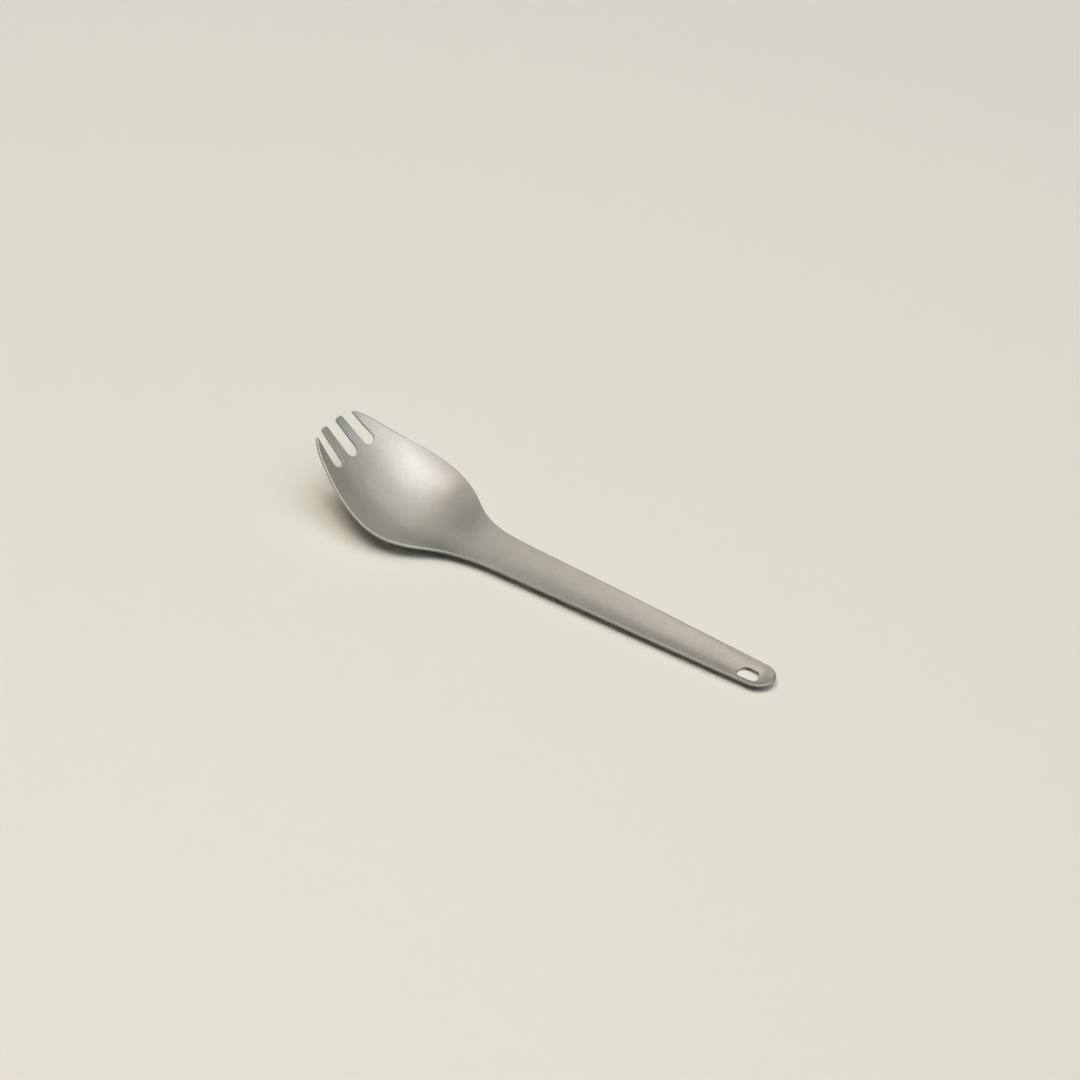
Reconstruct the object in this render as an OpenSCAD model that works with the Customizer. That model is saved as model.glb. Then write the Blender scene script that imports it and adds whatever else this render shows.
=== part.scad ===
// Spork pressed from one sheet of titanium: a handle with a shallow trough and a hanging slot,
// a bowl whose rim rises towards the front, and four tines.
// X runs from the end of the handle to the tine tips, Y across, Z up from the table it lies on.

/* [Overall] */
// Length over all, from the end of the handle to the tine tips
spork_l = 165; // [150:1:185]
// Thickness of the sheet
sheet_t = 1; // [0.8:0.05:1.2]

/* [Handle] */
// Length of the handle, from its end to the neck
handle_l = 100; // [85:1:110]
// Width of the handle at its round end, over its rounded edges
handle_end_w = 9.3; // [8:0.1:11]
// Width of the handle at the neck, over its rounded edges
handle_neck_w = 15.9; // [13:0.1:19]
// Length of the rounded end of the handle
end_round_l = 5.2; // [4:0.1:7]
// Depth of the trough at the end of the handle
trough_end_d = 2; // [1:0.1:2.4]
// Depth of the trough at the neck
trough_neck_d = 1; // [0.5:0.1:1.5]
// Height of the neck's underside above the table
neck_lift = 1.6; // [1:0.1:3]

/* [Bowl] */
// Width of the bowl at its widest, over its rounded rim
bowl_w = 40.3; // [34:0.1:46]
// Depth of the bowl below its rim where it is deepest
bowl_d = 6.4; // [5:0.1:8]
// Height of the tine tips' underside above the table
tip_lift = 23; // [18:0.5:28]
// Depth of the dish that is left across the tines at their tips
tine_dish_d = 0.8; // [0.4:0.1:1.2]

/* [Tines] */
// Reach of the gaps between the tines, seen from above, from the inner tips to the roots
gap_reach = 9.5; // [8:0.1:11]
// Width of the middle gap
middle_gap_w = 4.2; // [3.4:0.1:5]
// Width of a side gap at its root
side_gap_root_w = 3.9; // [3.2:0.1:4.6]
// Width of a side gap at the tips
side_gap_tip_w = 3.3; // [2.8:0.1:3.9]
// Width of an inner tine at its root
inner_tine_root_w = 3.4; // [2.8:0.1:4]
// Width of an inner tine at its tip
inner_tine_tip_w = 2.6; // [2.2:0.1:3.1]
// Radius of the corners at the tip of an inner tine
tine_corner_r = 0.9; // [0.5:0.1:1]
// Distance that the outer tines end behind the inner ones, along the tines
outer_tine_setback = 1.5; // [1:0.1:2.4]

/* [Hanging slot] */
// Length of the hanging slot
slot_l = 7; // [6.5:0.1:10]
// Width of the hanging slot
slot_w = 4.4; // [4.2:0.1:5]
// Metal between the slot and the end of the handle
slot_end_gap = 5; // [4:0.1:7]

/* [Hidden] */

// Colour of the bare, blasted titanium
titanium_colour = [0.62, 0.61, 0.58];
// Overrun of the cutting tools past the sheet
overrun = 5;
// Facets round a cut circle
$fn = 48;

// Cross sections: 2 is a plain arc, and more gives a flatter floor with steeper sides
handle_fullness = 2;
bowl_fullness = 2.6;

// Rows that shape the handle. Each has its place along the handle, then how far its width, the depth
// of its trough and the lift of its floor have gone from their values at the end to those at the neck.
handle_shares = [
    [0, 0, 0, 0],
    [0.3, 0.34, -0.1, 0],
    [0.6, 0.63, 0.15, 0.44],
    [0.85, 0.88, 0.8, 0.81],
];

// Rows from the neck to where the bowl is deepest. Each has its place along the bowl, then how far its
// width and depth have gone from the neck's to the bowl's, and how much of the neck's lift is left.
bowl_back_shares = [
    [0, 0, 0, 1],
    [0.07, 0.07, 0, 1],
    [0.15, 0.16, 0.045, 0.97],
    [0.23, 0.34, 0.265, 0.62],
    [0.31, 0.65, 0.52, 0.32],
    [0.38, 0.845, 0.7, 0.15],
    [0.45, 0.975, 0.885, 0.06],
];

// Rows from there to the tips. Each has its place along the bowl, its share of the bowl's width, how far
// its depth still is from the tines' to the bowl's, and its share of the lift of the tips.
bowl_front_shares = [
    [0.54, 1.013, 1.045, 0.041],
    [0.64, 0.954, 0.96, 0.169],
    [0.74, 0.85, 0.705, 0.347],
    [0.84, 0.705, 0.42, 0.587],
    [0.91, 0.6, 0.24, 0.769],
    [0.96, 0.454, 0.115, 0.893],
    [1, 0.318, 0, 1],
];

bowl_l = spork_l - handle_l;
end_half_w = handle_end_w / 2;
neck_half_w = handle_neck_w / 2;
bowl_half_w = bowl_w / 2;

// Value that lies a share of the way from one value to another
function between(from, to, share) = from + (to - from) * share;

// A row holds its place, half width, depth, height of its floor's upper face, and fullness
rows = concat(
    [for (s = handle_shares) [
        handle_l * s[0],
        between(end_half_w, neck_half_w, s[1]),
        between(trough_end_d, trough_neck_d, s[2]),
        sheet_t + neck_lift * s[3],
        handle_fullness
    ]],
    [for (s = bowl_back_shares) [
        handle_l + bowl_l * s[0],
        between(neck_half_w, bowl_half_w, s[1]),
        between(trough_neck_d, bowl_d, s[2]),
        sheet_t + neck_lift * s[3],
        between(handle_fullness, bowl_fullness, s[1])
    ]],
    [for (s = bowl_front_shares) [
        handle_l + bowl_l * s[0],
        bowl_half_w * s[1],
        between(tine_dish_d, bowl_d, s[2]),
        sheet_t + tip_lift * s[3],
        bowl_fullness
    ]]
);
row_count = len(rows);
last_row = row_count - 1;

// One more row past each end, so that the smooth curve starts and stops on the first and last rows
spline_rows = concat([2 * rows[0] - rows[1]], rows, [2 * rows[last_row] - rows[last_row - 1]]);

// Weights of a uniform cubic B-spline, a fraction of the way along one of its spans
function spline_weights(f) = [
    pow(1 - f, 3),
    3 * pow(f, 3) - 6 * pow(f, 2) + 4,
    -3 * pow(f, 3) + 3 * pow(f, 2) + 3 * f + 1,
    pow(f, 3)
] / 6;

// Cross section at a place that is counted in rows from the end of the handle
function section(t) =
    let (span = min(floor(t), last_row - 1))
    spline_weights(t - span) * [for (k = [0:3]) spline_rows[span + k]];

// Places of the sections: close together round the end of the handle, then evenly by rows
end_sections = 7;
sections_per_row = 5;
round_t = end_round_l / rows[1][0];
end_places = [for (i = [1:end_sections]) round_t * (1 - cos(90 * i / end_sections))];
body_sections = last_row * sections_per_row;
body_places = [for (i = [1:body_sections]) between(round_t, last_row, i / body_sections)];
sections = [for (t = concat(end_places, body_places)) section(t)];
section_count = len(sections);

// Places across a section, from one edge to the other
cross_count = 16;
cross_shares = [for (j = [0:cross_count]) 2 * j / cross_count - 1];

// The edges are rounded to a half circle, so they start this far inside the outline
edge_r = sheet_t / 2;

// Upper face of one section. In the rounded end both the outline and the trough close as an ellipse.
function upper_points(s) =
    let (
        closing = max(0, 1 - s[0] / end_round_l),
        narrowing = sqrt(1 - closing * closing)
    )
    [for (v = cross_shares) [
        s[0] + edge_r * closing,
        v * narrowing * (s[1] - edge_r),
        s[3] + s[2] * pow(norm([closing, v * narrowing]), s[4])
    ]];

upper = [for (s = sections) upper_points(s)];
last_section = section_count - 1;

function unit(v) = v / norm(v);

// Direction square to the upper face at one of its points
function face_normal(i, j) =
    unit(cross(
        upper[min(i + 1, last_section)][j] - upper[max(i - 1, 0)][j],
        upper[i][min(j + 1, cross_count)] - upper[i][max(j - 1, 0)]
    ));

// The underside lies one sheet thickness below, square to the upper face
under = [for (i = [0:last_section]) [for (j = [0:cross_count])
    upper[i][j] - sheet_t * face_normal(i, j)]];

// Points round an edge, from its upper corner to its lower one
edge_steps = 4;
function edge_points(upper_corner, lower_corner, outward) =
    [for (k = [0:edge_steps])
        let (turn = 180 * k / edge_steps)
        (upper_corner + lower_corner) / 2
            + (upper_corner - lower_corner) / 2 * cos(turn)
            + edge_r * sin(turn) * outward];

// The very end of the handle, where the rounded end closes in one column of points
end_corner = [edge_r, 0, rows[0][3] + rows[0][2]];
end_normal = face_normal(0, cross_count / 2);
end_column = edge_points(end_corner, end_corner - sheet_t * end_normal, cross(end_normal, [0, 1, 0]));

// The edge of one section, where j is its place across and side is 1 on the left and -1 on the right
function section_edge(i, j, side) =
    let (
        before = i == 0 ? end_corner : upper[i - 1][j],
        after = upper[min(i + 1, last_section)][j],
        outward = side * unit(cross(face_normal(i, j), after - before))
    )
    edge_points(upper[i][j], under[i][j], outward);

// All points of one section in turn: upper face, left edge, underside, right edge
function section_ring(i) =
    let (
        left = section_edge(i, cross_count, 1),
        right = section_edge(i, 0, -1)
    )
    concat(
        upper[i],
        [for (k = [1:edge_steps - 1]) left[k]],
        [for (j = [0:cross_count]) under[i][cross_count - j]],
        [for (k = [1:edge_steps - 1]) right[edge_steps - k]]
    );
ring_count = 2 * (cross_count + edge_steps);

// Numbers of the points in the list of the sheet's points: first the end column, then every ring
function ring_id(i, k) = 1 + edge_steps + i * ring_count + k % ring_count;
function under_id(i, j) = ring_id(i, 2 * cross_count + edge_steps - j);
function left_id(i, k) = ring_id(i, cross_count + k);
function right_id(i, k) = ring_id(i, ring_count - k);

// Two triangles that fill four corners, given in turn round the outside
function quad(a, b, c, d) = [[a, b, c], [a, c, d]];
function flat(lists) = [for (l = lists) for (e = l) e];

// The pressed sheet before its front is cut: a skin of rings, closed at the end and at the front
module pressed_sheet() {
    skin = flat([for (i = [0:last_section - 1]) for (k = [0:ring_count - 1])
        quad(ring_id(i, k), ring_id(i, k + 1), ring_id(i + 1, k + 1), ring_id(i + 1, k))]);
    end_upper = [for (j = [0:cross_count - 1]) [0, ring_id(0, j + 1), ring_id(0, j)]];
    end_lower = [for (j = [0:cross_count - 1]) [edge_steps, under_id(0, j), under_id(0, j + 1)]];
    end_left = flat([for (k = [0:edge_steps - 1]) quad(k + 1, left_id(0, k + 1), left_id(0, k), k)]);
    end_right = flat([for (k = [0:edge_steps - 1]) quad(k, right_id(0, k), right_id(0, k + 1), k + 1)]);
    front = flat([for (j = [0:cross_count - 1])
        quad(
            ring_id(last_section, j), ring_id(last_section, j + 1),
            under_id(last_section, j + 1), under_id(last_section, j)
        )]);
    front_left = [for (k = [1:edge_steps - 1])
        [left_id(last_section, 0), left_id(last_section, k), left_id(last_section, k + 1)]];
    front_right = [for (k = [1:edge_steps - 1])
        [right_id(last_section, 0), right_id(last_section, k + 1), right_id(last_section, k)]];
    polyhedron(
        points = concat(end_column, flat([for (i = [0:last_section]) section_ring(i)])),
        faces = concat(skin, end_upper, end_lower, end_left, end_right, front, front_left, front_right),
        convexity = 8
    );
}

// Middle of the overall length, which becomes the origin
middle_x = (min([for (p = end_column) p[0]]) + spork_l) / 2;

// Height of the floor's upper face at a place along the spork
floor_heights = [for (s = sections) [s[0], s[3]]];
function floor_z(x) = lookup(x, floor_heights);

// Slope of the tines, and the middle of their tips on the upper face
tine_slope = atan2(floor_z(spork_l) - floor_z(spork_l - gap_reach), gap_reach);
tip_x = spork_l - sheet_t * sin(tine_slope);
gap_l = gap_reach / cos(tine_slope);

// Middles of a side gap at its root and at the tips
side_gap_root_y = middle_gap_w / 2 + inner_tine_root_w + side_gap_root_w / 2;
side_gap_tip_y = middle_gap_w / 2 + inner_tine_tip_w + side_gap_tip_w / 2;

// Outline of a gap in the plane of the tines, where X is zero at the tips. It has a round root, and its
// sides run on past the tips.
module gap_outline(root_w, tip_w, root_y, tip_y) {
    root_x = root_w / 2 - gap_l;
    run = overrun / -root_x;
    mouth_y = between(root_y, tip_y, 1 + run);
    mouth_w = between(root_w, tip_w, 1 + run);
    translate([root_x, root_y]) circle(d = root_w);
    polygon([
        [root_x, root_y - root_w / 2],
        [overrun, mouth_y - mouth_w / 2],
        [overrun, mouth_y + mouth_w / 2],
        [root_x, root_y + root_w / 2]
    ]);
}

// Outline of an inner tine's tip, with its two round corners
module inner_tip_outline() {
    near_y = middle_gap_w / 2;
    far_y = near_y + inner_tine_tip_w;
    corner_x = -tine_corner_r;
    translate([corner_x, near_y + tine_corner_r]) circle(r = tine_corner_r);
    translate([corner_x, far_y - tine_corner_r]) circle(r = tine_corner_r);
    translate([-gap_l, near_y]) square([gap_l - tine_corner_r, inner_tine_root_w]);
    translate([corner_x, near_y + tine_corner_r])
        square([tine_corner_r, inner_tine_tip_w - 2 * tine_corner_r]);
}

// What is trimmed off ahead of the tips: round corners on the inner tines, the outer ones cut back
module front_outline() {
    difference() {
        translate([-outer_tine_setback, -bowl_half_w]) square([outer_tine_setback + overrun, bowl_w]);
        inner_tip_outline();
        mirror([0, 1]) inner_tip_outline();
    }
}

// Places a cutting tool square through the tines, with its origin in the middle of their tips
module on_tines() {
    translate([tip_x, 0, floor_z(tip_x)])
        rotate([0, -tine_slope, 0])
            translate([0, 0, -overrun])
                linear_extrude(2 * overrun) children();
}

// Tools that cut the three gaps and trim the tips
module tine_cuts() {
    on_tines() gap_outline(middle_gap_w, middle_gap_w, 0, 0);
    on_tines() gap_outline(side_gap_root_w, side_gap_tip_w, side_gap_root_y, side_gap_tip_y);
    on_tines() gap_outline(side_gap_root_w, side_gap_tip_w, -side_gap_root_y, -side_gap_tip_y);
    on_tines() front_outline();
}

// Tool that punches the hanging slot
module slot_cut() {
    half_straight = (slot_l - slot_w) / 2;
    translate([slot_end_gap + slot_l / 2, 0, -overrun])
        linear_extrude(2 * overrun + handle_end_w) {
            translate([-half_straight, 0]) circle(d = slot_w);
            translate([half_straight, 0]) circle(d = slot_w);
            square([2 * half_straight, slot_w], center = true);
        }
}

module spork() {
    color(titanium_colour)
        translate([-middle_x, 0, 0])
            difference() {
                pressed_sheet();
                tine_cuts();
                slot_cut();
            }
}

spork();
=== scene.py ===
import math

import bpy
import numpy as np
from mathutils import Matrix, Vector
from mathutils.geometry import delaunay_2d_cdt

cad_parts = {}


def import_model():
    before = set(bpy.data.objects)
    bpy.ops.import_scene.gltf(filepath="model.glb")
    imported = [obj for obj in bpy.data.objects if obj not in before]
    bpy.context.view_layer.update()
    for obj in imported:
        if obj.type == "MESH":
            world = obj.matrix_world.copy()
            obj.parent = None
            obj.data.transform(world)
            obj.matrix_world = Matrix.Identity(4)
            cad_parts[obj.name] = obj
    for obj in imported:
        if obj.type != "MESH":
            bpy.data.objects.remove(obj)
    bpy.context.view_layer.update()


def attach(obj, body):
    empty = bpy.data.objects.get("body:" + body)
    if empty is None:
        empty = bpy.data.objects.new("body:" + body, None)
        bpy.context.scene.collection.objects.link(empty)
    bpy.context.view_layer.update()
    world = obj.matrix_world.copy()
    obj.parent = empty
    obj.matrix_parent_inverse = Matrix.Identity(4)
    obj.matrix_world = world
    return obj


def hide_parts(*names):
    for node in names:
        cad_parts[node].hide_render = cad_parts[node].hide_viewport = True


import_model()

# Sizes of the spork in millimetres, where X starts at the end of the handle
SPORK_L = 165.0
SHEET_T = 1.0
HANDLE_L = 100.0
HANDLE_END_W = 9.3
HANDLE_NECK_W = 15.9
END_ROUND_L = 5.2
TROUGH_END_D = 2.0
TROUGH_NECK_D = 1.0
NECK_LIFT = 1.6
BOWL_W = 40.3
BOWL_D = 6.4
TIP_LIFT = 23.0
TINE_DISH_D = 0.8
GAP_REACH = 9.5
MIDDLE_GAP_W = 4.2
SIDE_GAP_ROOT_W = 3.9
SIDE_GAP_TIP_W = 3.3
INNER_TINE_ROOT_W = 3.4
INNER_TINE_TIP_W = 2.6
TINE_CORNER_R = 0.9
OUTER_TINE_SETBACK = 1.5
SLOT_L = 7.0
SLOT_W = 4.4
SLOT_END_GAP = 5.0
HANDLE_FULLNESS = 2.0
BOWL_FULLNESS = 2.6
# Radius of the rounding on the outer edge, and on the edges of the slot and the gaps
RIM_R = SHEET_T / 2
CUT_R = 0.22
# The frame's zero is halfway along the spork, which reaches past its length where the tips lean
MIDDLE_X = 82.346
MM = 0.001

# Shares of the way along each stretch, and there of the half width, the depth and the lift
HANDLE_SHARES = [
    (0, 0, 0, 0),
    (0.3, 0.34, -0.1, 0),
    (0.6, 0.63, 0.15, 0.44),
    (0.85, 0.88, 0.8, 0.81),
]
BOWL_BACK_SHARES = [
    (0, 0, 0, 1),
    (0.07, 0.07, 0, 1),
    (0.15, 0.16, 0.045, 0.97),
    (0.23, 0.34, 0.265, 0.62),
    (0.31, 0.65, 0.52, 0.32),
    (0.38, 0.845, 0.7, 0.15),
    (0.45, 0.975, 0.885, 0.06),
]
BOWL_FRONT_SHARES = [
    (0.54, 1.013, 1.045, 0.041),
    (0.64, 0.954, 0.96, 0.169),
    (0.74, 0.85, 0.705, 0.347),
    (0.84, 0.705, 0.42, 0.587),
    (0.91, 0.6, 0.24, 0.769),
    (0.96, 0.454, 0.115, 0.893),
    (1, 0.318, 0, 1),
]

# Fineness of the mesh: distances in millimetres, counts of points or steps
PITCH = 0.55
EDGE_CLEARANCE = 0.3
TABLE_POINTS = 12001
HANDLE_END_POINTS = 41
SIDE_POINTS = 460
FRONT_POINTS = 24
ROUND_POINTS = 33
SLOT_SIDE_POINTS = 14
GAP_SIDE_POINTS = 44
GAP_MOUTH_POINTS = 6
TINE_SIDE_POINTS = 12
TINE_END_POINTS = 3
CORNER_POINTS = 9
CUT_SIDE_POINTS = 8
CUT_LINE_POINTS = 120
RIM_STEPS = 5
NORMAL_STEP = 0.03
SLOPE_STEP = 0.01
SLOPE_ROUNDS = 12
MOST_SLOPE = 2
TIP_MARGIN = 0.01
# How far the cuts run past the tips, and where the straight part behind a tine's corner starts
OVERRUN = 5.0
CORNER_RUN = 0.6
CORNER_GAP = 0.1
# Reach from which an edge is the outer one, and the rounds that blend the radius between edges
OUTER_REACH = 0.999
BLEND_ROUNDS = 3
# Limits of the stretch that keeps a sharp corner of the outline full
LEAST_COSINE = 0.2
MOST_STRETCH = 1.8
WELD_DISTANCE = 1e-4
TINY = 1e-12
POINTS_AT_ONCE = 2000

# Finish: the scale per metre, detail and roughness of each noise, and heights in metres
GRAIN = (3600.0, 3, 0.6)
SPECKLE = (1900.0, 2, 0.6)
CLOUD = (260.0, 3, 0.55)
STROKES = (620.0, 4, 0.6)
DRAWN = (700.0, 3, 0.5)
STROKES_STRETCH = (1.0, 0.16, 0.6)
DRAWN_STRETCH = (0.05, 1.0, 1.0)
GRAIN_HEIGHT = 0.000024
STROKE_HEIGHT = 0.00003
METAL_SHARE = 0.74
TITANIUM_DARK = (0.418, 0.406, 0.367, 1)
TITANIUM_LIGHT = (0.462, 0.448, 0.408, 1)
SPECKLE_COLOUR = (0.54, 0.52, 0.49, 1)
MARK_COLOUR = (0.305, 0.313, 0.303, 1)
# Colour of the painted shade on three patches, darkening the light that falls there
PAINTED_SHADE_COLOUR = (0.27, 0.272, 0.254, 1)
# Colour of the painted shade on the rounded edges, which tones down their highlights
EDGE_SHADE_COLOUR = (0.36, 0.343, 0.31, 1)
# Ranges of a value, each followed by what it turns to
NONE_TO_ALL = (0.0, 1.0)
MIDDLE_RANGE = (0.3, 0.7)
SPECKLE_RANGE, SPECKLE_SHARES = (0.42, 0.72), (0.0, 0.55)
PRESS_RANGE, PRESS_SHARES = (0.36, 0.66), (0.5, 1.0)
PAINTED_SHADE_RANGE, PAINTED_SHADE_SHARES = (0.2, 0.7), (0.7, 1.0)
EDGE_RANGE, EDGE_SHADE_SHARES = (0.1, 0.9), (0.0, 0.9)
POLISH_RANGE, EDGE_POLISH = (0.2, 1.0), (0.0, 0.03)
MARK_RANGE = (1.0, 0.1)
CLOUD_ROUGHNESS = (0.465, 0.5)
DRAWN_ROUGHNESS = (-0.012, 0.02)
# Middle and reach in millimetres of the press marks, on the back wall of the bowl, and of the
# painted shade on one side of the neck, at the end of the handle and at the tips of two tines
PRESS_MARK = ((34.0, -6.0, 4.0), (9.5, 11.0, 20.0))
NECK_PAINTED_SHADE = ((33.5, 9.0, 4.0), (17.0, 9.0, 20.0))
END_PAINTED_SHADE = ((-81.5, 4.5, 3.0), (8.0, 4.5, 6.0))
TIP_PAINTED_SHADE = ((81.5, -4.5, 22.5), (7.0, 7.5, 8.0))
# Sockets of a Mix node that hold colours
MIX_FIRST, MIX_SECOND, MIX_RESULT = 6, 7, 2

WHITE = (1.0, 1.0, 1.0)
WARM = (1.035, 1.0, 0.91)
AMBER = (1.08, 1.0, 0.82)
DAYLIGHT = (0.98, 1.0, 1.05)
COOL = (0.978, 0.986, 1.07)
# Soft lamps: name, azimuth, elevation, distance in metres or zero where it is far away, width in
# degrees, level, colour, and whether matt surfaces and glossy ones see it
LAMPS = [
    ("key", 180, 60, 0, 46, 0.41, DAYLIGHT, True, False),
    ("near_top", 93, 74, 1.4, 26, 0.355, AMBER, True, False),
    ("floor_top", 345, 85, 0, 60, 0.23, AMBER, True, False),
    ("key_shine", 180, 61, 0, 45, 0.353, COOL, False, True),
    ("near_shine", 66, 70, 3.0, 26, 0.218, WARM, False, True),
    ("near_high", 141, 57, 3.0, 26, 0.205, DAYLIGHT, False, True),
    ("handle_side", 236, 60, 3.0, 30, 0.09, WHITE, False, True),
    ("far_fill", 300, 60, 3.0, 36, 0.125, WARM, False, True),
    ("far_wall", 275, 8, 3.0, 36, 0.05, WARM, False, True),
    ("far_low", 315, 12, 3.0, 36, 0.08, WARM, False, True),
    ("tip_low", 0, 12, 3.0, 36, 0.17, WARM, False, True),
    ("tip_side", 34, 40, 3.0, 26, 0.058, WARM, False, True),
]
AIR_LEVEL = 0.032
BACKDROP_LEVEL = 1.0
BACKDROP_COLOUR = (0.457, 0.451, 0.417, 1)
FLOOR_COLOUR = (0.7685, 0.772, 0.7435, 1)
FLOOR_ROUGHNESS = 0.9
FLOOR_REACH = 6.0

CAMERA_AZIMUTH = 126.77
CAMERA_ELEVATION = 38.5
CAMERA_DISTANCE = 0.93806
CAMERA_TARGET = (0.012372, -0.01472, 0.00045)
CAMERA_ANGLE = 20
CAMERA_RANGE = (0.01, 50)
SENSOR_W = 36.0


def between(low, high, share):
    return low + (high - low) * share


def shape_rows():
    """Rows of place, half width, depth, floor height and fullness."""
    bowl_l = SPORK_L - HANDLE_L
    end, neck, bowl = HANDLE_END_W / 2, HANDLE_NECK_W / 2, BOWL_W / 2
    rows = []
    for place, width, depth, lift in HANDLE_SHARES:
        rows.append((HANDLE_L * place, between(end, neck, width),
                     between(TROUGH_END_D, TROUGH_NECK_D, depth),
                     SHEET_T + NECK_LIFT * lift, HANDLE_FULLNESS))
    for place, width, depth, lift in BOWL_BACK_SHARES:
        rows.append((HANDLE_L + bowl_l * place, between(neck, bowl, width),
                     between(TROUGH_NECK_D, BOWL_D, depth),
                     SHEET_T + NECK_LIFT * lift, between(HANDLE_FULLNESS, BOWL_FULLNESS, width)))
    for place, width, depth, lift in BOWL_FRONT_SHARES:
        rows.append((HANDLE_L + bowl_l * place, bowl * width,
                     between(TINE_DISH_D, BOWL_D, depth),
                     SHEET_T + TIP_LIFT * lift, BOWL_FULLNESS))
    return np.array(rows)


def spline_table(rows, count):
    """Samples of the uniform cubic B-spline through the rows."""
    spans = len(rows) - 1
    knots = np.vstack([2 * rows[0] - rows[1], rows, 2 * rows[-1] - rows[-2]])
    t = np.linspace(0, spans, count)
    i = np.minimum(t.astype(int), spans - 1)
    f = (t - i)[:, None]
    return ((1 - f) ** 3 * knots[i] + (3 * f ** 3 - 6 * f ** 2 + 4) * knots[i + 1]
            + (-3 * f ** 3 + 3 * f ** 2 + 3 * f + 1) * knots[i + 2] + f ** 3 * knots[i + 3]) / 6


TABLE = spline_table(shape_rows(), TABLE_POINTS)


def along(x, column):
    return np.interp(x, TABLE[:, 0], TABLE[:, column])


def station(x):
    """Place along the spork that shapes the point at x.

    It differs from x only in the rounded end, whose upper face starts one rim radius in.
    """
    return np.where(x < END_ROUND_L, (x - RIM_R) / (1 - RIM_R / END_ROUND_L), x)


def closing(s):
    """Zero along the spork, rising to one at the very end of the handle."""
    return np.clip(1 - s / END_ROUND_L, 0, 1)


def half_width(s):
    """Half width of the upper face, inside the rounding of the rim."""
    return along(s, 1) - RIM_R


def reach(x, y):
    """Zero on the middle line of the upper face, and one on its edge."""
    s = station(x)
    return np.hypot(closing(s), y / half_width(s))


def upper_z(x, y):
    s = station(x)
    return along(s, 3) + along(s, 2) * reach(x, y) ** along(s, 4)


def upper_normal(x, y):
    step = NORMAL_STEP
    dx = (upper_z(x + step, y) - upper_z(x - step, y)) / (2 * step)
    dy = (upper_z(x, y + step) - upper_z(x, y - step)) / (2 * step)
    n = np.stack([-dx, -dy, np.ones_like(dx)], axis=-1)
    return n / np.linalg.norm(n, axis=-1, keepdims=True)


def floor_z(x):
    return float(upper_z(np.array([x]), np.array([0.0]))[0])


TINE_SLOPE = math.atan2(floor_z(SPORK_L) - floor_z(SPORK_L - GAP_REACH), GAP_REACH)
TIP_X = SPORK_L - SHEET_T * math.sin(TINE_SLOPE)
TIP_Z = floor_z(TIP_X)
GAP_L = GAP_REACH / math.cos(TINE_SLOPE)


def from_tine_plane(points):
    """Plan positions of points given in the plane of the tines, where zero is at the tips."""
    points = np.array(points, float)
    u, y = points[:, 0], points[:, 1]
    c, s = math.cos(TINE_SLOPE), math.sin(TINE_SLOPE)
    x = TIP_X + u * c
    for _ in range(SLOPE_ROUNDS):
        z = upper_z(x, y)
        slope = (upper_z(x + SLOPE_STEP, y) - z) / SLOPE_STEP
        x = x - ((x - TIP_X) * c + (z - TIP_Z) * s - u) / (c + np.clip(slope, 0, MOST_SLOPE) * s)
    return np.stack([x, y], axis=-1)


def arc(cx, cy, r, start, stop, count):
    a = np.radians(np.linspace(start, stop, count))
    return [(cx + r * math.cos(v), cy + r * math.sin(v)) for v in a]


def line(p, q, count):
    """Points from p towards q, without q itself."""
    return [(between(p[0], q[0], k / count), between(p[1], q[1], k / count)) for k in range(count)]


def gap_polygon(root_w, tip_w, root_y, tip_y):
    """Outline of a gap, grown by the radius of its rounded edge."""
    root_x = root_w / 2 - GAP_L
    run = OVERRUN / -root_x
    mouth_y = between(root_y, tip_y, 1 + run)
    mouth_w = between(root_w, tip_w, 1 + run)
    root_r = root_w / 2 + CUT_R
    left = (root_x, root_y + root_r)
    right = (root_x, root_y - root_r)
    mouth_left = (OVERRUN, mouth_y + mouth_w / 2 + CUT_R)
    mouth_right = (OVERRUN, mouth_y - mouth_w / 2 - CUT_R)
    points = arc(root_x, root_y, root_r, 90, 270, ROUND_POINTS)[1:-1]
    points += line(right, mouth_right, GAP_SIDE_POINTS)
    points += line(mouth_right, mouth_left, GAP_MOUTH_POINTS)
    points += line(mouth_left, left, GAP_SIDE_POINTS)
    points += [left]
    return from_tine_plane(points)


def inner_tip_polygon(side):
    """Outline that keeps an inner tine past the front cut, drawn in by its rounded edge."""
    near = MIDDLE_GAP_W / 2 + CUT_R
    far = MIDDLE_GAP_W / 2 + INNER_TINE_TIP_W - CUT_R
    far_root = MIDDLE_GAP_W / 2 + INNER_TINE_ROOT_W
    in_gap = near - 2 * CUT_R
    r = TINE_CORNER_R - CUT_R
    corner = -CUT_R - r
    back = corner - CORNER_RUN
    points = line((-GAP_L, in_gap), (back, in_gap), TINE_SIDE_POINTS)
    points += line((back, near), (corner, near), TINE_END_POINTS)
    points += arc(corner, near + r, r, 270, 360, CORNER_POINTS)
    points += arc(corner, far - r, r, 0, 90, CORNER_POINTS)
    points += line((corner - CORNER_GAP, far), (back, far), TINE_END_POINTS)
    points += line((back, far_root), (-GAP_L, far_root), TINE_SIDE_POINTS)
    if side < 0:
        points = [(u, -y) for u, y in reversed(points)]
    return from_tine_plane(points)


def front_polygon():
    """Outline of what the front cut takes away, all but the inner tines."""
    back = -OUTER_TINE_SETBACK - CUT_R
    wide = BOWL_W / 2
    points = line((back, -wide), (OVERRUN, -wide), CUT_SIDE_POINTS)
    points += line((OVERRUN, -wide), (OVERRUN, wide), CUT_SIDE_POINTS)
    points += line((OVERRUN, wide), (back, wide), CUT_SIDE_POINTS)
    points += line((back, wide), (back, -wide), CUT_LINE_POINTS)
    return from_tine_plane(points)


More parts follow.
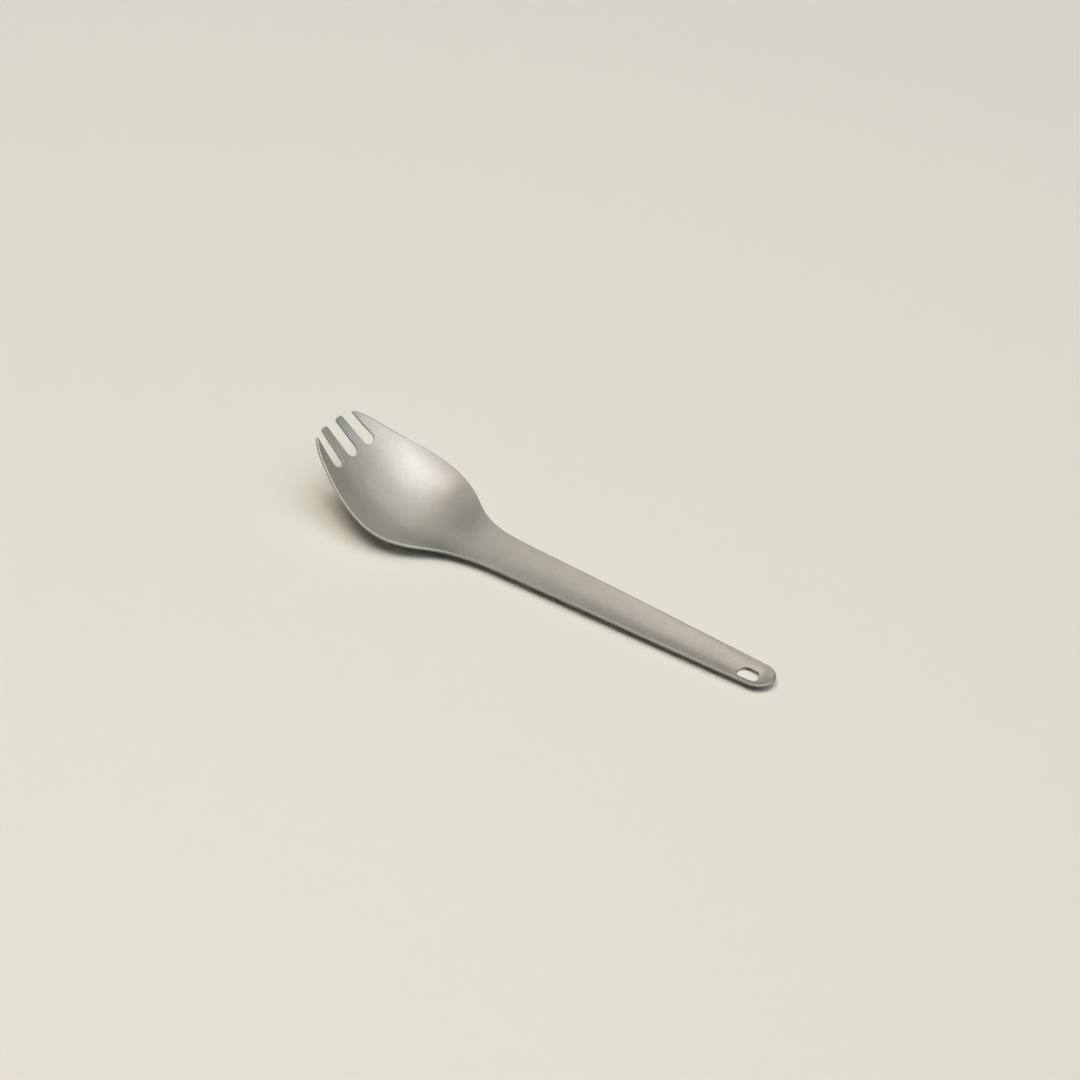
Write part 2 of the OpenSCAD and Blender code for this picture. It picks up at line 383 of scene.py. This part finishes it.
def slot_polygon():
    middle = SLOT_END_GAP + SLOT_L / 2
    half = (SLOT_L - SLOT_W) / 2
    r = SLOT_W / 2 + CUT_R
    front, back = middle + half, middle - half
    points = arc(front, 0, r, -90, 90, ROUND_POINTS)
    points += line((front, r), (back, r), SLOT_SIDE_POINTS)[1:]
    points += arc(back, 0, r, 90, 270, ROUND_POINTS)
    points += line((back, -r), (front, -r), SLOT_SIDE_POINTS)[1:]
    return np.array(points)


def outer_polygon():
    """Edge of the upper face, where the rounding of the rim starts."""
    a = np.radians(np.linspace(0, 90, HANDLE_END_POINTS))[:-1]
    s_end = END_ROUND_L * (1 - np.cos(a))
    x_end = s_end + RIM_R * closing(s_end)
    y_end = half_width(s_end) * np.sin(a)
    s_body = np.linspace(END_ROUND_L, SPORK_L - TIP_MARGIN, SIDE_POINTS)
    x = np.concatenate([x_end, s_body])
    y = np.concatenate([y_end, half_width(s_body)])
    top = np.stack([x, y], axis=-1)
    front = np.array(line((x[-1], y[-1]), (x[-1], -y[-1]), FRONT_POINTS)[1:])
    bottom = np.stack([x[:0:-1], -y[:0:-1]], axis=-1)
    return np.concatenate([top, front, bottom])[::-1]


def distance_to(points, loop):
    """Distance of each point from the nearest segment of a closed loop."""
    a, b = loop, np.roll(loop, -1, axis=0)
    ab = b - a
    best = np.full(len(points), np.inf)
    for start in range(0, len(points), POINTS_AT_ONCE):
        part = slice(start, start + POINTS_AT_ONCE)
        p = points[part, None]
        t = np.clip(((p - a) * ab).sum(-1) / np.maximum((ab ** 2).sum(-1), TINY), 0, 1)
        best[part] = np.sqrt((((a + ab * t[..., None]) - p) ** 2).sum(-1).min(1))
    return best


def inner_points(loops):
    """Points of a triangular grid that lie on the upper face, clear of its edges."""
    grid = []
    for k, x in enumerate(np.arange(0, SPORK_L, PITCH * math.sqrt(3) / 2)):
        y = np.arange(-BOWL_W / 2, BOWL_W / 2, PITCH) + (k % 2) * PITCH / 2
        grid.append(np.stack([np.full_like(y, x), y], axis=-1))
    grid = np.concatenate(grid)
    grid = grid[(grid[:, 0] > RIM_R) & (reach(grid[:, 0], grid[:, 1]) < 1)]
    clear = np.full(len(grid), np.inf)
    for loop in loops:
        clear = np.minimum(clear, distance_to(grid, loop))
    return grid[clear > EDGE_CLEARANCE]


def sheet_plan():
    """Triangles of the spork's plan, and its points in millimetres."""
    side_root_y = MIDDLE_GAP_W / 2 + INNER_TINE_ROOT_W + SIDE_GAP_ROOT_W / 2
    side_tip_y = MIDDLE_GAP_W / 2 + INNER_TINE_TIP_W + SIDE_GAP_TIP_W / 2
    holes = [
        slot_polygon(),
        gap_polygon(MIDDLE_GAP_W, MIDDLE_GAP_W, 0, 0),
        gap_polygon(SIDE_GAP_ROOT_W, SIDE_GAP_TIP_W, side_root_y, side_tip_y),
        gap_polygon(SIDE_GAP_ROOT_W, SIDE_GAP_TIP_W, -side_root_y, -side_tip_y),
    ]
    loops = [outer_polygon()] + holes
    loops += [front_polygon(), inner_tip_polygon(1), inner_tip_polygon(-1)]
    outer_id, hole_ids, front_id, tip_ids = 0, {1, 2, 3, 4}, 5, {6, 7}

    points, faces = [], []
    for loop in loops:
        faces.append(list(range(len(points), len(points) + len(loop))))
        points.extend(map(tuple, loop))
    points.extend(map(tuple, inner_points(loops)))
    verts, _, tris, _, _, owners = delaunay_2d_cdt(
        [Vector(p) for p in points], [], faces, 1, WELD_DISTANCE, True)
    kept = []
    for tri, ids in zip(tris, owners):
        cut_off = front_id in ids and tip_ids.isdisjoint(ids)
        if outer_id in ids and hole_ids.isdisjoint(ids) and not cut_off:
            kept.append(tuple(tri))
    used = sorted({v for tri in kept for v in tri})
    number = {v: i for i, v in enumerate(used)}
    plan = np.array([verts[v][:] for v in used])
    return plan, [tuple(number[v] for v in tri) for tri in kept]


def boundary_loops(tris):
    """Closed loops of the plan's edges, with the sheet on their left."""
    edges = {}
    for a, b, c in tris:
        for p, q in ((a, b), (b, c), (c, a)):
            edges[(p, q)] = True
    after = {}
    for p, q in edges:
        if (q, p) not in edges:
            after.setdefault(p, []).append(q)
    loops = []
    while after:
        start = next(iter(after))
        loop = [start]
        while True:
            nexts = after[loop[-1]]
            step = nexts.pop()
            if not nexts:
                del after[loop[-1]]
            if step == start:
                break
            loop.append(step)
        loops.append(loop)
    return loops


def unit(v):
    return v / np.maximum(np.linalg.norm(v, axis=-1, keepdims=True), TINY)


def outward_at(edge, normal):
    """Direction out of the sheet at each point of an edge, and how far a corner is stretched."""
    before = unit(edge - np.roll(edge, 1, axis=0))
    after = unit(np.roll(edge, -1, axis=0) - edge)
    side_a, side_b = unit(np.cross(before, normal)), unit(np.cross(after, normal))
    outward = unit(side_a + side_b)
    cosine = np.maximum((outward * side_a).sum(-1), LEAST_COSINE)
    return outward, np.minimum(1 / cosine, MOST_STRETCH)[:, None]


def rounding_at(x, y):
    """Radius of the rounding at each point of an edge."""
    r = np.where(reach(x, y) > OUTER_REACH, RIM_R, CUT_R)
    for _ in range(BLEND_ROUNDS):
        r = (np.roll(r, 1) + 2 * r + np.roll(r, -1)) / 4
    return r[:, None]


def build_sheet():
    """The spork: both faces of the sheet, joined all round by a rounded edge."""
    plan, tris = sheet_plan()
    x, y = plan[:, 0], plan[:, 1]
    normal = upper_normal(x, y)
    upper = np.stack([x, y, upper_z(x, y)], axis=-1)
    middle = upper - normal * SHEET_T / 2
    count = len(plan)
    verts = [upper, upper - normal * SHEET_T]
    normals = [normal, -normal]
    # How far round the rounded edge each point lies, which sets the painted shade and the polish
    # there
    edge_weight = [np.zeros(count), np.zeros(count)]
    faces = tris + [(a + count, c + count, b + count) for a, b, c in tris]
    total = 2 * count
    for loop in boundary_loops(tris):
        ids = np.array(loop)
        size = len(ids)
        n = normal[ids]
        outward, stretch = outward_at(upper[ids], n)
        r = rounding_at(x[ids], y[ids])
        rings = [ids]
        for k in range(1, 2 * RIM_STEPS + 1):
            upper_half = k <= RIM_STEPS
            turn = math.pi / 2 * (k if upper_half else k - 1) / RIM_STEPS
            lift = (SHEET_T / 2 - r) * (1 if upper_half else -1) + r * math.cos(turn)
            verts.append(middle[ids] + outward * stretch * r * math.sin(turn) + n * lift)
            normals.append(outward * math.sin(turn) + n * math.cos(turn))
            edge_weight.append(np.full(size, math.sin(turn)))
            rings.append(np.arange(total, total + size))
            total += size
        rings.append(ids + count)
        for a, b in zip(rings, rings[1:]):
            for j in range(size):
                k = (j + 1) % size
                faces.append((int(a[k]), int(a[j]), int(b[j]), int(b[k])))
    points = np.concatenate(verts)
    points[:, 0] -= MIDDLE_X
    mesh = bpy.data.meshes.new("spork_sheet")
    mesh.from_pydata((points * MM).tolist(), [], [tuple(int(v) for v in f) for f in faces])
    mesh.validate()
    mesh.shade_smooth()
    mesh.normals_split_custom_set_from_vertices(unit(np.concatenate(normals)).tolist())
    edge = mesh.attributes.new("edge", "FLOAT", "POINT")
    edge.data.foreach_set("value", np.concatenate(edge_weight).astype(np.float32))
    mesh.update()
    new = bpy.data.objects.new("spork_sheet", mesh)
    bpy.context.collection.objects.link(new)
    return new


def titanium():
    """Bead-blasted titanium: fine grain, faint mottling, press marks, painted shade on patches and
    edges.
    """
    material = bpy.data.materials.new("blasted_titanium")
    material.use_nodes = True
    tree = material.node_tree
    shader = tree.nodes["Principled BSDF"]

    def node(kind, **settings):
        new = tree.nodes.new(kind)
        for key, value in settings.items():
            setattr(new, key, value)
        return new

    def join(source, target):
        tree.links.new(source, target)

    at = node("ShaderNodeTexCoord").outputs["Object"]

    def mapped(scale, location=(0.0, 0.0, 0.0)):
        mapping = node("ShaderNodeMapping")
        mapping.inputs["Location"].default_value = location
        mapping.inputs["Scale"].default_value = scale
        join(at, mapping.inputs["Vector"])
        return mapping.outputs["Vector"]

    def noise(vector, kind):
        new = node("ShaderNodeTexNoise")
        for name, value in zip(("Scale", "Detail", "Roughness"), kind):
            new.inputs[name].default_value = value
        join(vector, new.inputs["Vector"])
        return new.outputs["Fac"]

    def ramp(value, source_range, target_range):
        new = node("ShaderNodeMapRange")
        new.inputs["From Min"].default_value, new.inputs["From Max"].default_value = source_range
        new.inputs["To Min"].default_value, new.inputs["To Max"].default_value = target_range
        join(value, new.inputs["Value"])
        return new.outputs["Result"]

    def math_node(operation, a, b):
        new = node("ShaderNodeMath", operation=operation)
        join(a, new.inputs[0])
        join(b, new.inputs[1])
        return new.outputs[0]

    def mixed(share, first, second):
        new = node("ShaderNodeMix", data_type="RGBA")
        join(share, new.inputs["Factor"])
        for socket, colour in ((new.inputs[MIX_FIRST], first), (new.inputs[MIX_SECOND], second)):
            if isinstance(colour, tuple):
                socket.default_value = colour
            else:
                join(colour, socket)
        return new.outputs[MIX_RESULT]

    def near(mark):
        """One in the middle of a mark, falling to zero at its reach."""
        middle, extent = mark
        length = node("ShaderNodeVectorMath", operation="LENGTH")
        join(mapped([1 / (MM * e) for e in extent], [-m / e for m, e in zip(middle, extent)]),
             length.inputs[0])
        return ramp(length.outputs["Value"], MARK_RANGE, NONE_TO_ALL)

    def bump(height, distance):
        new = node("ShaderNodeBump")
        new.inputs["Strength"].default_value = 1.0
        new.inputs["Distance"].default_value = distance
        join(height, new.inputs["Height"])
        return new

    speckle = noise(at, SPECKLE)
    cloud = noise(at, CLOUD)
    strokes = noise(mapped(STROKES_STRETCH), STROKES)
    drawn = noise(mapped(DRAWN_STRETCH), DRAWN)
    edge = node("ShaderNodeAttribute", attribute_name="edge").outputs["Fac"]
    pressed = near(PRESS_MARK)

    colour = mixed(ramp(cloud, MIDDLE_RANGE, NONE_TO_ALL), TITANIUM_DARK, TITANIUM_LIGHT)
    colour = mixed(ramp(speckle, SPECKLE_RANGE, SPECKLE_SHARES), colour, SPECKLE_COLOUR)
    mark = math_node("MULTIPLY", pressed, ramp(strokes, PRESS_RANGE, PRESS_SHARES))
    colour = mixed(mark, colour, MARK_COLOUR)
    # Painted shade: the rounded edges are darkened, which tones down their highlights
    colour = mixed(ramp(edge, EDGE_RANGE, EDGE_SHADE_SHARES), colour, EDGE_SHADE_COLOUR)
    # Painted shade: three soft patches darken the metal on one side of the neck, at the end of the
    # handle and at the tips of two tines
    for shade_patch in (NECK_PAINTED_SHADE, END_PAINTED_SHADE, TIP_PAINTED_SHADE):
        share = math_node("MULTIPLY", near(shade_patch), ramp(strokes, PAINTED_SHADE_RANGE, PAINTED_SHADE_SHARES))
        colour = mixed(share, colour, PAINTED_SHADE_COLOUR)
    join(colour, shader.inputs["Base Color"])

    rough = math_node("ADD", ramp(cloud, MIDDLE_RANGE, CLOUD_ROUGHNESS),
                      ramp(drawn, MIDDLE_RANGE, DRAWN_ROUGHNESS))
    rough = math_node("SUBTRACT", rough, ramp(edge, POLISH_RANGE, EDGE_POLISH))
    join(rough, shader.inputs["Roughness"])

    coarse = bump(math_node("MULTIPLY", pressed, strokes), STROKE_HEIGHT)
    fine = bump(noise(at, GRAIN), GRAIN_HEIGHT)
    join(coarse.outputs["Normal"], fine.inputs["Normal"])
    join(fine.outputs["Normal"], shader.inputs["Normal"])
    shader.inputs["Metallic"].default_value = METAL_SHARE
    return material


def floor():
    """A plain pale table, far larger than the picture."""
    far = FLOOR_REACH
    mesh = bpy.data.meshes.new("floor")
    mesh.from_pydata(
        [(-far, -far, 0), (far, -far, 0), (far, far, 0), (-far, far, 0)], [], [(0, 1, 2, 3)])
    plane = bpy.data.objects.new("floor", mesh)
    bpy.context.collection.objects.link(plane)
    material = bpy.data.materials.new("floor_paint")
    material.use_nodes = True
    shader = material.node_tree.nodes["Principled BSDF"]
    shader.inputs["Base Color"].default_value = FLOOR_COLOUR
    shader.inputs["Roughness"].default_value = FLOOR_ROUGHNESS
    shader.inputs["Specular IOR Level"].default_value = 0.0
    mesh.materials.append(material)


def direction(azimuth, elevation):
    a, e = math.radians(azimuth), math.radians(elevation)
    return Vector((math.cos(e) * math.cos(a), math.cos(e) * math.sin(a), math.sin(e)))


def look_along(obj, target):
    obj.rotation_euler = (Vector(target) - obj.location).to_track_quat("-Z", "Y").to_euler()


def camera():
    data = bpy.data.cameras.new("camera")
    data.sensor_fit = "HORIZONTAL"
    data.sensor_width = SENSOR_W
    data.angle = math.radians(CAMERA_ANGLE)
    data.clip_start, data.clip_end = CAMERA_RANGE
    obj = bpy.data.objects.new("camera", data)
    obj.location = (Vector(CAMERA_TARGET)
                    + CAMERA_DISTANCE * direction(CAMERA_AZIMUTH, CAMERA_ELEVATION))
    look_along(obj, CAMERA_TARGET)
    bpy.context.collection.objects.link(obj)
    bpy.context.scene.camera = obj


def lamp(name, azimuth, elevation, distance, spread, level, colour, lights_matt, lights_gloss):
    """A round soft lamp that looks spread degrees wide and lights the spork to the given level."""
    data = bpy.data.lights.new(name, "AREA" if distance else "SUN")
    if distance:
        radius = distance * math.tan(math.radians(spread / 2))
        data.shape = "DISK"
        data.size = 2 * radius
        data.energy = level * math.pi ** 2 * (radius ** 2 + distance ** 2)
    else:
        data.angle = math.radians(spread)
        data.energy = level * math.pi
    data.color = colour
    obj = bpy.data.objects.new(name, data)
    obj.location = (distance or 1) * direction(azimuth, elevation)
    look_along(obj, (0, 0, 0))
    obj.visible_camera = False
    obj.visible_diffuse = lights_matt
    obj.visible_glossy = lights_gloss
    bpy.context.collection.objects.link(obj)


def world():
    """A pale backdrop for the camera, and a little even light for everything else."""
    new = bpy.data.worlds.new("world")
    bpy.context.scene.world = new
    new.use_nodes = True
    tree = new.node_tree
    path = tree.nodes.new("ShaderNodeLightPath")
    level = tree.nodes.new("ShaderNodeMapRange")
    level.inputs["To Min"].default_value = AIR_LEVEL
    level.inputs["To Max"].default_value = BACKDROP_LEVEL
    tree.links.new(path.outputs["Is Camera Ray"], level.inputs["Value"])
    tree.links.new(level.outputs["Result"], tree.nodes["Background"].inputs["Strength"])
    tree.nodes["Background"].inputs["Color"].default_value = BACKDROP_COLOUR


sheet = build_sheet()
sheet.data.materials.append(titanium())
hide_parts("spork")
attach(sheet, "root")

floor()
camera()
for row in LAMPS:
    lamp(*row)
world()

bpy.context.scene.view_settings.view_transform = "Standard"
